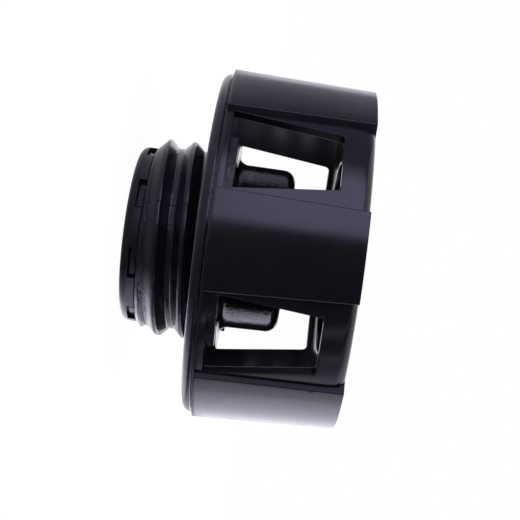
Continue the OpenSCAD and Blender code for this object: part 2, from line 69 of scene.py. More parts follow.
class Shape:
    """The points and faces of one piece, built up from loops of points."""

    def __init__(self):
        self.points = []
        self.faces = []

    def loop(self, points):
        """Adds points and gives their numbers."""
        first = len(self.points)
        self.points += points
        return list(range(first, len(self.points)))

    def plate(self, loop):
        """One face over a closed loop."""
        self.faces.append(loop)

    def disc(self, loop, middle):
        """Faces from a closed loop to a point in its middle."""
        centre = self.loop([middle])[0]
        for a, b in zip(loop, loop[1:] + loop[:1]):
            self.faces.append([a, b, centre])

    def band(self, a, b, gaps=()):
        """Faces between two closed loops, except at the places in gaps."""
        n = len(a)
        for k in range(n):
            if k not in gaps:
                self.faces.append([a[k], a[(k + 1) % n], b[(k + 1) % n], b[k]])

    def chain(self, loops):
        """Bands from each loop to the next."""
        for a, b in zip(loops, loops[1:]):
            self.band(a, b)

    def bar(self, loops):
        """A chain with a face over both ends."""
        self.chain(loops)
        self.plate(loops[0])
        self.plate(loops[-1])

    def skin(self, loops, end=None, gaps=None):
        """Bands from each loop to the next and from the last to the first, but none
        after the loop number end. gaps holds the gaps in the band after a loop."""
        for i, loop in enumerate(loops):
            if i != end:
                self.band(loop, loops[(i + 1) % len(loops)], (gaps or {}).get(i, ()))

    def build(self, name):
        """The object, with doubles merged and normals turned out."""
        mesh = bpy.data.meshes.new(name)
        mesh.from_pydata([[c * MM for c in p] for p in self.points], [], self.faces)
        bm = bmesh.new()
        bm.from_mesh(mesh)
        bmesh.ops.remove_doubles(bm, verts=bm.verts, dist=MERGE)
        loose = [v for v in bm.verts if not v.link_faces]
        bmesh.ops.delete(bm, geom=loose, context="VERTS")
        bmesh.ops.recalc_face_normals(bm, faces=bm.faces)
        bm.to_mesh(mesh)
        bm.free()
        mesh.shade_smooth()
        mesh.set_sharp_from_angle(angle=SHARP)
        return add_object(name, mesh)


def weighted(obj):
    """Normals that follow the large faces, so that flat faces look flat."""
    modifier = obj.modifiers.new("weighted", "WEIGHTED_NORMAL")
    modifier.keep_sharp = True
    return obj


def polar(angle, r, z):
    a = radians(angle)
    return (r * cos(a), r * sin(a), z)


def side_angle(across, r):
    """How far a point at radius r is turned when it lies that far to the side."""
    return degrees(asin(across / r))


def slope(a, b, z0, z1):
    """An even change from a at z0 to b at z1."""
    return lambda z: a + (b - a) * (z - z0) / (z1 - z0)


def arc(centre_r, centre_z, radius, start, end, steps):
    """Points (r, z) on an arc in a profile, both ends included."""
    out = []
    for i in range(steps + 1):
        t = radians(start + (end - start) * i / steps)
        out.append((centre_r + radius * cos(t), centre_z + radius * sin(t)))
    return out


# The grip drum

# Six equal sectors, each with a window in its middle and half a lug at each side. The
# columns of points follow the window's outline and the lug's side, so that every edge
# gets a small round of its own.

SECTORS = 6
HALF_SECTOR = 30.0
DRUM_Z = 21.5
TOP_Z = 56.8
LOCATING_TOP = 25.5
BORE_R = 41.1
CEILING_R = 39.8
CEILING_Z = 50.9

SILL_Z = 23.5
SILL_HALF = 10.65
WINDOW_TOP = 49.5
WINDOW_TOP_HALF = 7.5
WINDOW_CORNER = 1.5
CORNER_STEPS = 6

SHOULDER = 2.6
DISH_R = 39.0
DISH_Z = 53.9
DISH_LIP = 0.45
CENTRE_R = 27.6
CENTRE_Z = 56.4
CENTRE_FOOT = 0.35
RECESS_R = 24.6
TOP_WALL = 3.0
FILLET = 0.5

wall_r = slope(43.7, 42.4, DRUM_Z, TOP_Z)
lug_r = slope(45.0, 43.7, DRUM_Z, TOP_Z)
lug_half = slope(11.65, 10.4, DRUM_Z, TOP_Z)
window_half = slope(SILL_HALF, WINDOW_TOP_HALF, SILL_Z, WINDOW_TOP)
taper_r = slope(BORE_R, CEILING_R, LOCATING_TOP, CEILING_Z)

# The middle of an edge's round: how far it lies from both faces, in shares of EDGE
MIDDLE = 0.293
# (depth below the face, way back from the edge) over a round, in shares of EDGE
ROUND = ((1, 0), (MIDDLE, MIDDLE), (0, 1))
# Both parts of a direction halfway between two axes
DIAGONAL = 0.707

# Columns in half a sector: on the window, the wall beside it and the lug
WINDOW_COLUMNS = 6
WALL_COLUMNS = 3
LUG_COLUMNS = 10
HALF_COLUMNS = WINDOW_COLUMNS + WALL_COLUMNS + len(ROUND) + LUG_COLUMNS

# Heights of rows: under the sill and along the window's straight side. Above the window
# each row also says how far its columns have spread sideways.
UNDER_SILL_Z = 22.4
WINDOW_ROWS = (24.2, 26, 29, 32, 35, 38, 41, 44, 46.3)
UPPER_ROWS = ((50.8, 0.3), (52.4, 0.6))
SHOULDER_SPREAD = 0.9
# The lug's rows beside the shoulder, and the radii of those on its flat end
LUG_ROWS = (55.0, 55.9)
LUG_END_ROWS = (42.6, 41.2)
# Where wall and lug meet in the flat end, and how much wider the lug's foot is there
MEETING_R = 39.8
MEETING_GAP = 0.3
# Towards the ceiling's middle the columns close up, from this radius on
EVEN_R = 40


def inner_r(z):
    """The wall's inner radius: straight beside the locating walls, tapered above."""
    return BORE_R if z < LOCATING_TOP else taper_r(z)


def outer_row(wall, lug, normal, half, edge=EDGE, foot_gap=0.0):
    """A row of (angle, r, z) from the window's middle to the lug's. wall and lug are
    (r, z), normal is the lug's in that plane and half is the window's half width."""
    r, z = wall
    window = side_angle(half, r)
    foot = HALF_SECTOR - side_angle(lug_half(lug[1]) + foot_gap, r)
    row = [(window * j / WINDOW_COLUMNS, r, z) for j in range(WINDOW_COLUMNS + 1)]
    for j in range(1, WALL_COLUMNS + 1):
        row.append((window + (foot - window) * j / WALL_COLUMNS, r, z))
    for depth, back in ROUND:
        r = lug[0] - normal[0] * edge * depth
        z = lug[1] - normal[1] * edge * depth
        row.append((HALF_SECTOR - side_angle(lug_half(z) - EDGE * back, r), r, z))
    start = row[-1][0]
    for j in range(1, LUG_COLUMNS + 1):
        row.append((start + (HALF_SECTOR - start) * j / LUG_COLUMNS, *lug))
    return row


def upright_row(z, half):
    """A row on the outer side, where wall and lug face straight out."""
    return outer_row((wall_r(z), z), (lug_r(z), z), (1, 0), half)


def inner_row(r, z, half):
    """A row on the inner side, with the window's columns and evenly spaced others."""
    window = side_angle(half, r)
    others = HALF_COLUMNS - WINDOW_COLUMNS
    row = [(window * j / WINDOW_COLUMNS, r, z) for j in range(WINDOW_COLUMNS + 1)]
    for j in range(1, others + 1):
        row.append((window + (HALF_SECTOR - window) * j / others, r, z))
    return row


def window_outline():
    """(half width, z, way out sideways, way out upwards) from the sill to the top."""
    lean = atan2(SILL_HALF - WINDOW_TOP_HALF, WINDOW_TOP - SILL_Z)
    corner_z = WINDOW_TOP - WINDOW_CORNER
    corner_half = SILL_HALF - (corner_z - SILL_Z) * tan(lean) - WINDOW_CORNER / cos(lean)
    outline = [(window_half(SILL_Z), SILL_Z, 1.0, -1.0)]
    outline += [(window_half(z), z, 1.0, 0.0) for z in WINDOW_ROWS]
    for i in range(CORNER_STEPS + 1):
        t = lean + (pi / 2 - lean) * i / CORNER_STEPS
        outline.append((corner_half + WINDOW_CORNER * cos(t),
                        corner_z + WINDOW_CORNER * sin(t), cos(t), sin(t)))
    return outline


def foot_rows(half):
    """The round on the drum's lower edge and the rows up to the window."""
    sunk = MIDDLE * EDGE
    return [outer_row((wall_r(DRUM_Z) - EDGE, DRUM_Z), (lug_r(DRUM_Z) - EDGE, DRUM_Z),
                      (0, -1), half),
            outer_row((wall_r(DRUM_Z) - sunk, DRUM_Z + sunk),
                      (lug_r(DRUM_Z) - sunk, DRUM_Z + sunk), (DIAGONAL, -DIAGONAL), half),
            upright_row(DRUM_Z + EDGE, half),
            upright_row(UNDER_SILL_Z, half)]


def shoulder_rows(half):
    """Over the round shoulder of the wall and the sharper one of the lug."""
    start_z = TOP_Z - SHOULDER
    wall = arc(wall_r(TOP_Z) - SHOULDER, start_z, SHOULDER, 0, 90, 8)
    sunk = MIDDLE * EDGE
    end_r = lug_r(TOP_Z)
    lug = [(lug_r(z), z, 1, 0) for z in (start_z, *LUG_ROWS)]
    lug += [(end_r, TOP_Z - EDGE, 1, 0),
            (end_r - sunk, TOP_Z - sunk, DIAGONAL, DIAGONAL),
            (end_r - EDGE, TOP_Z, 0, 1)]
    lug += [(r, TOP_Z, 0, 1) for r in LUG_END_ROWS]
    rows = [outer_row(place, (r, z), (out, up), half)
            for place, (r, z, out, up) in zip(wall, lug)]
    rows.append(outer_row(wall[-1], (MEETING_R, TOP_Z), (0, 1), half,
                          edge=0.0, foot_gap=MEETING_GAP))
    return rows


def top_profile():
    """From the lugs' ends over the dish to the raised centre of the top plate."""
    return (arc(DISH_R + DISH_LIP, TOP_Z - DISH_LIP, DISH_LIP, 90, 180, 3)
            + arc(DISH_R - FILLET, DISH_Z + FILLET, FILLET, 0, -90, 3)
            + [(r, DISH_Z) for r in (34.5, 31)]
            + arc(CENTRE_R + CENTRE_FOOT, DISH_Z + CENTRE_FOOT, CENTRE_FOOT, 270, 180, 3)
            + arc(CENTRE_R - FILLET, CENTRE_Z - FILLET, FILLET, 0, 90, 4)
            + [(r, CENTRE_Z) for r in (23, 17, 10, 4)])


def outer_sheet(outline):
    """The rows from the drum's lower edge to the middle of its top, and the number of
    the first one on the window."""
    rows = foot_rows(outline[0][0] + EDGE)
    first = len(rows)
    rows += [upright_row(z + EDGE * up, half + EDGE * out) for half, z, out, up in outline]
    top_half = outline[-1][0]
    rows += [upright_row(z, top_half + spread) for z, spread in UPPER_ROWS]
    rows += shoulder_rows(top_half + SHOULDER_SPREAD)
    angles = [angle for angle, _, _ in rows[-1]]
    rows += [[(angle, r, z) for angle in angles] for r, z in top_profile()]
    return rows, first


def inner_sheet(outline):
    """The rows from the ceiling's middle to the drum's lower edge, and the number of
    the first one on the window."""
    top_half = outline[-1][0]
    ceiling = [(r, CENTRE_Z - TOP_WALL) for r in (4, 12, 20, RECESS_R)]
    ceiling += arc(RECESS_R + FILLET, CEILING_Z + FILLET, FILLET, 180, 270, 3)
    ceiling += [(r, CEILING_Z) for r in (31, 36, 39)]
    rows = [inner_row(r, z, top_half * r / EVEN_R) for r, z in ceiling]
    for r, z in arc(CEILING_R - FILLET, CEILING_Z - FILLET, FILLET, 90, 0, 3):
        rows.append(inner_row(r, z, top_half))
    first = len(rows)
    for half, z, out, up in reversed(outline):
        edge_z = z + EDGE * up
        rows.append(inner_row(inner_r(edge_z), edge_z, half + EDGE * out))
    sill_half = outline[0][0] + EDGE
    rows += [inner_row(BORE_R, z, sill_half) for z in (UNDER_SILL_Z, DRUM_Z)]
    return rows, first


def sector_point(sector, j, angle, r, z):
    """A point of column j, which lies at minus the angle where j is below zero."""
    return polar(2 * HALF_SECTOR * sector + (angle if j >= 0 else -angle), r, z)


def full_circle(row):
    """Half a sector's row, mirrored and repeated all around."""
    return [sector_point(sector, j, *row[abs(j)])
            for sector in range(SECTORS) for j in range(-HALF_COLUMNS, HALF_COLUMNS)]


def column(sector, j):
    """The place of column j of a sector in a full circle."""
    return (sector * 2 * HALF_COLUMNS + j + HALF_COLUMNS) % (SECTORS * 2 * HALF_COLUMNS)


def around_window(last):
    """(row, column) once around a window that has the rows 0 to last."""
    side = WINDOW_COLUMNS
    return ([(0, j) for j in range(-side, side + 1)]
            + [(k, side) for k in range(1, last + 1)]
            + [(last, j) for j in range(side - 1, -side - 1, -1)]
            + [(k, -side) for k in range(last - 1, 0, -1)])


def window_side_point(sector, place, j, outside, depth, back):
    """A point between the two sheets, on the window's side or on an edge's round."""
    half, z, out, up = place
    if abs(j) < WINDOW_COLUMNS:
        half = half * abs(j) / WINDOW_COLUMNS
        out = 0.0
    half += back * EDGE * out
    z += back * EDGE * up
    r = wall_r(z) - depth * EDGE if outside else inner_r(z) + depth * EDGE
    return sector_point(sector, j, side_angle(half, r), r, z)


def add_window_sides(shape, sector, outline, outer, inner):
    """The sides of one window, from the outer sheet over the rounds of both edges to
    the inner one. outer and inner are the sheets' loops from sill to window top."""
    ring = around_window(len(outline) - 1)
    edges = [[outer[k][column(sector, j)] for k, j in ring]]
    for outside, depth, back in ((True, MIDDLE, MIDDLE), (True, 1, 0),
                                 (False, 1, 0), (False, MIDDLE, MIDDLE)):
        edges.append(shape.loop([
            window_side_point(sector, outline[k], j, outside, depth, back)
            for k, j in ring]))
    edges.append([inner[k][column(sector, j)] for k, j in ring])
    shape.chain(edges)


def build_drum():
    outline = window_outline()
    outer, outer_first = outer_sheet(outline)
    inner, inner_first = inner_sheet(outline)
    inner_first += len(outer)
    bands = len(outline) - 1
    openings = {column(sector, j) for sector in range(SECTORS)
                for j in range(-WINDOW_COLUMNS, WINDOW_COLUMNS)}
    gaps = {first + k: openings for first in (outer_first, inner_first)
            for k in range(bands)}
    shape = Shape()
    loops = [shape.loop(full_circle(row)) for row in outer + inner]
    top, ceiling = len(outer) - 1, len(outer)
    shape.skin(loops, top, gaps)
    shape.disc(loops[top], (0, 0, CENTRE_Z))
    shape.disc(loops[ceiling], (0, 0, CENTRE_Z - TOP_WALL))
    outer_loops = loops[outer_first:outer_first + bands + 1]
    inner_loops = loops[inner_first:inner_first + bands + 1][::-1]
    for sector in range(SECTORS):
        add_window_sides(shape, sector, outline, outer_loops, inner_loops)
    return weighted(shape.build("grip_drum_moulding"))


# The closure body

# One turned form of neck, flange and valve housing. The thread is a ridge on the neck,
# and the two halves of the mould meet a little out of line.

PITCH = 6.6
CREST_W = 0.5
ROOT_W = 1.0
THREAD_R = 25.3
NECK_R = 23.2
# Height of the thread's crest at 180 degrees
START_Z = 6.6
THREAD_Z0 = 4.1
THREAD_Z1 = 19.6
THREAD_ROWS = 124
# Radius at which the thread's 45 degree lead-in starts
LEAD_R = 22.6

# The parting line, how far the mould's second half is off and the groove between the two
PARTING = 251.9
SHIFT_Z = -0.07
SHIFT_R = 0.025
GROOVE_DEPTH = 0.08
# Columns all around, and how far the parting line's own lie from it and others stay off
COLUMN_STEP = 1.0
GROOVE_COLUMN = 0.1
BESIDE_COLUMN = 0.3
KEEP_OFF = 0.45

NECK_BORE = 19.6
NECK_END_Z = 2.0
SNAP_R = 21.2
NECK_FOOT_R = 22.2

UNDER_Z = 19.6
GASKET_Z = 21.0
GASKET_IN = 25.9
GASKET_OUT = 34.1
RIM_IN = 41.0
RIM_R = 43.5
RIM_FOOT_Z = 18.7
RIM_TOP_Z = 21.2
RIM_ROUND = 2.0
RIM_EDGE = 0.15
SEAT_R = 42.4
STEP_R = 40.98
FLANGE_TOP = 22.8

PAD_R = 27.2
PAD_TOP = 25.0
PAD_FOOT = 0.3
PAD_EDGE = 0.35
HOUSING_LOW_R = 21.1
HOUSING_R = 20.95
HOUSING_FOOT = 2.5
CROWN_Z = 39.9
CROWN_ROUND = 3.2
CROWN_WALL = 3.0
CAVITY_R = 18.0
CAVITY_EDGE = 0.4
CAVITY_Z = 22.3

VENTS = 6
VENT_R = 1.5
VENT_PITCH_R = 6.4
VENT_SIDES = 40

housing_r = slope(HOUSING_LOW_R, HOUSING_R, 29.0, 36.5)


def rounded_ramp(x, w=0.2):
    """From 0 to 1 on a straight slope with its two ends rounded over a share w."""
    if x <= 0 or x >= 1:
        return float(x >= 1)
    if x < w:
        return x * x / (2 * w * (1 - w))
    if x > 1 - w:
        return 1 - (1 - x) ** 2 / (2 * w * (1 - w))
    return (x - w / 2) / (1 - w)


def from_parting(angle):
    """How far an angle is from the nearer of the two parting lines."""
    return min(abs(angle - PARTING), abs(angle - PARTING + 180))


def neck_r(angle, z):
    """The neck's radius, with the thread's ridge and the groove on the parting line."""
    second_half = not PARTING - 180 < angle < PARTING
    ridge_z = z - (SHIFT_Z if second_half else 0.0)
    turns = (ridge_z - START_Z - PITCH * (angle - 180) / 360) / PITCH
    from_crest = abs(turns - round(turns)) * PITCH
    flank = (PITCH - CREST_W - ROOT_W) / 2
    fall = rounded_ramp((from_crest - CREST_W / 2) / flank)
    r = THREAD_R - (THREAD_R - NECK_R) * fall + (SHIFT_R if second_half else 0.0)
    groove = from_parting(angle) < (GROOVE_COLUMN + BESIDE_COLUMN) / 2
    return min(r, LEAD_R + z - THREAD_Z0) - (GROOVE_DEPTH if groove else 0)


def body_columns():
    """Even angles, but for those near the parting lines, which get four of their own."""
    angles = [i * COLUMN_STEP for i in range(round(360 / COLUMN_STEP))]
    columns = [angle for angle in angles if from_parting(angle) > KEEP_OFF]
    for line in (PARTING, PARTING - 180):
        for offset in (GROOVE_COLUMN, BESIDE_COLUMN):
            columns += [line - offset, line + offset]
    return sorted(columns)


def neck_end_profile():
    """From inside the neck's end to the start of the thread, past the ring's snap."""
    end_z = NECK_END_Z + EDGE
    return (arc(NECK_BORE + EDGE, end_z, EDGE, 180, 270, 2)
            + arc(SNAP_R - EDGE, end_z, EDGE, 270, 360, 2)
            + [(SNAP_R, 3.2), (SNAP_R, THREAD_Z0), (NECK_FOOT_R, THREAD_Z0)])


def flange_profile():
    """From the thread's end past the gasket's groove, around the rim and over the
    drum's seat to the foot of the housing."""
    return ([(25.7, UNDER_Z), (GASKET_IN, UNDER_Z), (GASKET_IN, UNDER_Z + 0.15),
             (GASKET_IN, GASKET_Z), (GASKET_OUT, GASKET_Z),
             (GASKET_OUT, UNDER_Z + 0.15), (34.2, UNDER_Z), (38, UNDER_Z)]
            + [(RIM_IN - 0.1, UNDER_Z), (RIM_IN, UNDER_Z - 0.1)]
            + [(RIM_IN, RIM_FOOT_Z + EDGE)]
            + arc(RIM_IN + EDGE, RIM_FOOT_Z + EDGE, EDGE, 180, 270, 2)
            + arc(RIM_R - RIM_ROUND, RIM_FOOT_Z + RIM_ROUND, RIM_ROUND, 270, 360, 12)
            + arc(RIM_R - RIM_EDGE, RIM_TOP_Z - RIM_EDGE, RIM_EDGE, 0, 90, 3)
            + [(42.9, RIM_TOP_Z), (SEAT_R, RIM_TOP_Z), (SEAT_R, DRUM_Z)]
            + [(41.6, DRUM_Z), (STEP_R, DRUM_Z), (STEP_R, 22.0)]
            + arc(STEP_R - EDGE, FLANGE_TOP - EDGE, EDGE, 0, 90, 2)
            + [(r, FLANGE_TOP) for r in (38, 33, 29)])


def housing_profile():
    """Over the housing's pad and up its side to the middle of its crown. No row crosses
    the vents."""
    return (arc(PAD_R + PAD_FOOT, FLANGE_TOP + PAD_FOOT, PAD_FOOT, 270, 180, 3)
            + arc(PAD_R - PAD_EDGE, PAD_TOP - PAD_EDGE, PAD_EDGE, 0, 90, 5)
            + [(25.2, PAD_TOP)]
            + arc(HOUSING_LOW_R + HOUSING_FOOT, PAD_TOP + HOUSING_FOOT, HOUSING_FOOT,
                  270, 180, 9)
            + [(housing_r(z), z) for z in (29, 31.5, 34)]
            + arc(HOUSING_R - CROWN_ROUND, CROWN_Z - CROWN_ROUND, CROWN_ROUND, 0, 90, 14)
            + [(r, CROWN_Z) for r in (15, 12, 9, 8.3, 4.5, 3, 1)])


def cavity_profile():
    """From the middle of the crown's inner side down to the neck's end."""
    ceiling_z = CROWN_Z - CROWN_WALL
    return ([(r, ceiling_z) for r in (1, 3, 4.5, 8.3, 9, 13)]
            + arc(CAVITY_R - CAVITY_EDGE, ceiling_z - CAVITY_EDGE, CAVITY_EDGE, 90, 0, 3)
            + [(CAVITY_R, 30), (CAVITY_R, CAVITY_Z), (NECK_BORE, CAVITY_Z)]
            + [(NECK_BORE, 12)])


def turned(profile, count):
    """A row of equal places all around for each place of a profile."""
    return [[place] * count for place in profile]


def build_body():
    columns = body_columns()
    count = len(columns)
    rows = turned(neck_end_profile(), count)
    for i in range(THREAD_ROWS + 1):
        z = THREAD_Z0 + (THREAD_Z1 - THREAD_Z0) * i / THREAD_ROWS
        rows.append([(neck_r(angle, z), z) for angle in columns])
    rows += turned(flange_profile() + housing_profile(), count)
    crown, ceiling = len(rows) - 1, len(rows)
    rows += turned(cavity_profile(), count)
    shape = Shape()
    loops = [shape.loop([polar(angle, r, z) for angle, (r, z) in zip(columns, row)])
             for row in rows]
    shape.skin(loops, crown)
    shape.disc(loops[crown], (0, 0, CROWN_Z))
    shape.disc(loops[ceiling], (0, 0, CROWN_Z - CROWN_WALL))
    body = shape.build("closure_body_moulding")
    drill_vents(body)
    return weighted(body)


def drill_vents(body):
    """Cuts the vents into the housing's crown."""
    shape = Shape()
    turns = [2 * pi * k / VENT_SIDES for k in range(VENT_SIDES)]
    for i in range(VENTS):
        x, y, _ = polar(i * 360 / VENTS, VENT_PITCH_R, 0)
        shape.bar([shape.loop([(x + VENT_R * cos(t), y + VENT_R * sin(t), z)
                               for t in turns])
                   for z in (CROWN_Z - CROWN_WALL - 1.4, CROWN_Z + 1.6)])
    cutter = shape.build("vent_cutter")
    modifier = body.modifiers.new("vents", "BOOLEAN")
    modifier.operation = "DIFFERENCE"
    modifier.solver = "EXACT"
    modifier.object = cutter
    bpy.context.view_layer.update()
    depsgraph = bpy.context.evaluated_depsgraph_get()
    cut = bpy.data.meshes.new_from_object(body.evaluated_get(depsgraph))
    body.modifiers.clear()
    body.data = cut
    cut.set_sharp_from_angle(angle=SHARP)
    bpy.data.objects.remove(cutter)


# The locating walls

# Two low curved walls on the flange, which the drum's bore slips over.

LOCATING_IN = 38.98
LOCATING_HALF = 24.0
LOCATING_STEPS = 30


def build_locating_walls():
    z0, z1 = FLANGE_TOP - EDGE, LOCATING_TOP
    section = [(LOCATING_IN, z0), (LOCATING_IN, z1 - EDGE), (LOCATING_IN + EDGE, z1),
               (STEP_R - EDGE, z1), (STEP_R, z1 - EDGE), (STEP_R, z0)]
    shape = Shape()
    for middle in (-90, 90):
        loops = []
        for k in range(LOCATING_STEPS + 1):
            across = LOCATING_HALF * (2 * k / LOCATING_STEPS - 1)
            loops.append(shape.loop([polar(middle + side_angle(across, r), r, z)
                                     for r, z in section]))
        shape.bar(loops)
    return weighted(shape.build("locating_walls"))


# The end ring and the tongues that hold it

# A turned ring with notches in its upper edge, which tongues on the neck snap into.

NOTCHES = 8
RING_EDGE = 0.15

TONGUE_TURN = 22.0
TONGUE_HALF = 2.5
TONGUE_IN = 20.9
TONGUE_OUT = 21.5
TONGUE_Z0 = 2.35
TONGUE_Z1 = 3.85
TONGUE_STEPS = 6

RING_R = 22.5
RING_SNAP_R = 21.3
RING_BORE = 16.0
RING_BASE_R = 18.4
RING_ROUND = 1.9
RING_FLOOR = 1.9
RING_TOP = 4.0
NOTCH_TURN = 19.85
NOTCH_HALF = 3.9
NOTCH_FLOOR = 2.05
# Columns on a notch and on the land beside it
NOTCH_COLUMNS = 6
LAND_COLUMNS = 12


def build_tongues():
    """Blocks with parallel sides between two radii, chamfered on the outside."""
    shape = Shape()
    for i in range(NOTCHES):
        middle = TONGUE_TURN + i * 360 / NOTCHES
        loops = []
        for r, inset in ((TONGUE_IN, 0), (TONGUE_OUT - RING_EDGE, 0),
                         (TONGUE_OUT, RING_EDGE)):
            low, high = [], []
            for k in range(TONGUE_STEPS + 1):
                across = (TONGUE_HALF - inset) * (2 * k / TONGUE_STEPS - 1)
                angle = middle + side_angle(across, r)
                low.append(polar(angle, r, TONGUE_Z0 + inset))
                high.append(polar(angle, r, TONGUE_Z1 - inset))
            loops.append(shape.loop(low + high[::-1]))
        shape.chain(loops)
        for end in (loops[0], loops[-1]):
            for k in range(TONGUE_STEPS):
                shape.plate([end[k], end[k + 1], end[-2 - k], end[-1 - k]])
    return weighted(shape.build("snap_tongues"))


def ring_angles(r):
    """Angles over one pitch of the notches: the notch first, then the land."""
    side = side_angle(NOTCH_HALF, r)
    notch = [side * (2 * k / NOTCH_COLUMNS - 1) for k in range(NOTCH_COLUMNS + 1)]
    land = [side + (360 / NOTCHES - 2 * side) * k / LAND_COLUMNS
            for k in range(1, LAND_COLUMNS)]
    return notch + land


def build_ring():
    edge = RING_EDGE
    lower = [(RING_BORE, 1.0), (RING_BORE, edge), (RING_BORE + edge, 0.0),
             (RING_BASE_R, 0.0)]
    lower += arc(RING_R - RING_ROUND, RING_ROUND, RING_ROUND, 270, 360, 10)
    upper = [(RING_R, NOTCH_FLOOR), (RING_R, RING_TOP - edge), (RING_R - edge, RING_TOP),
             (RING_SNAP_R + edge, RING_TOP), (RING_SNAP_R, RING_TOP - edge),
             (RING_SNAP_R, NOTCH_FLOOR)]
    inner = [(r, RING_FLOOR) for r in (RING_SNAP_R, 19, RING_BORE + edge)]
    inner.append((RING_BORE, RING_FLOOR - edge))
    shape = Shape()
    loops = [shape.loop([polar(NOTCH_TURN + i * 360 / NOTCHES + angle, r, z)
                         for i in range(NOTCHES) for angle in ring_angles(r)])
             for r, z in lower + upper + inner]
    starts = [i * (NOTCH_COLUMNS + LAND_COLUMNS) for i in range(NOTCHES)]
    openings = {start + k for start in starts for k in range(NOTCH_COLUMNS)}
    first, last = len(lower), len(lower) + len(upper) - 1
    shape.skin(loops, gaps=dict.fromkeys(range(first, last), openings))
    for start in starts:
        end = start + NOTCH_COLUMNS
        for k in range(start, end):
            shape.plate([loops[first][k], loops[first][k + 1],
                         loops[last][k + 1], loops[last][k]])
        for side in (start, end):
            shape.plate([loop[side] for loop in loops[first:last + 1]])
    return weighted(shape.build("end_ring_moulding"))


# The springs

COIL_STEPS = 56
WIRE_SIDES = 14


def build_coil(name, mean_r, wire_r, z, height, turns):
    """Round wire wound evenly between two seats, cut off straight at its ends."""
    shape = Shape()
    loops = []
    steps = turns * COIL_STEPS
    for i in range(steps + 1):
        share = i / steps
        a = 2 * pi * turns * share
        wire_z = z + wire_r + (height - 2 * wire_r) * share
        circle = []
        for k in range(WIRE_SIDES):
            b = 2 * pi * k / WIRE_SIDES
            r = mean_r + wire_r * cos(b)
            circle.append((r * cos(a), r * sin(a), wire_z + wire_r * sin(b)))
        loops.append(shape.loop(circle))
    shape.bar(loops)
    return shape.build(name)


# Materials

# Every pattern is set out in the piece's own coordinates, which are in metres, so that a
# noise of scale 1000 has grains of about 1 mm.

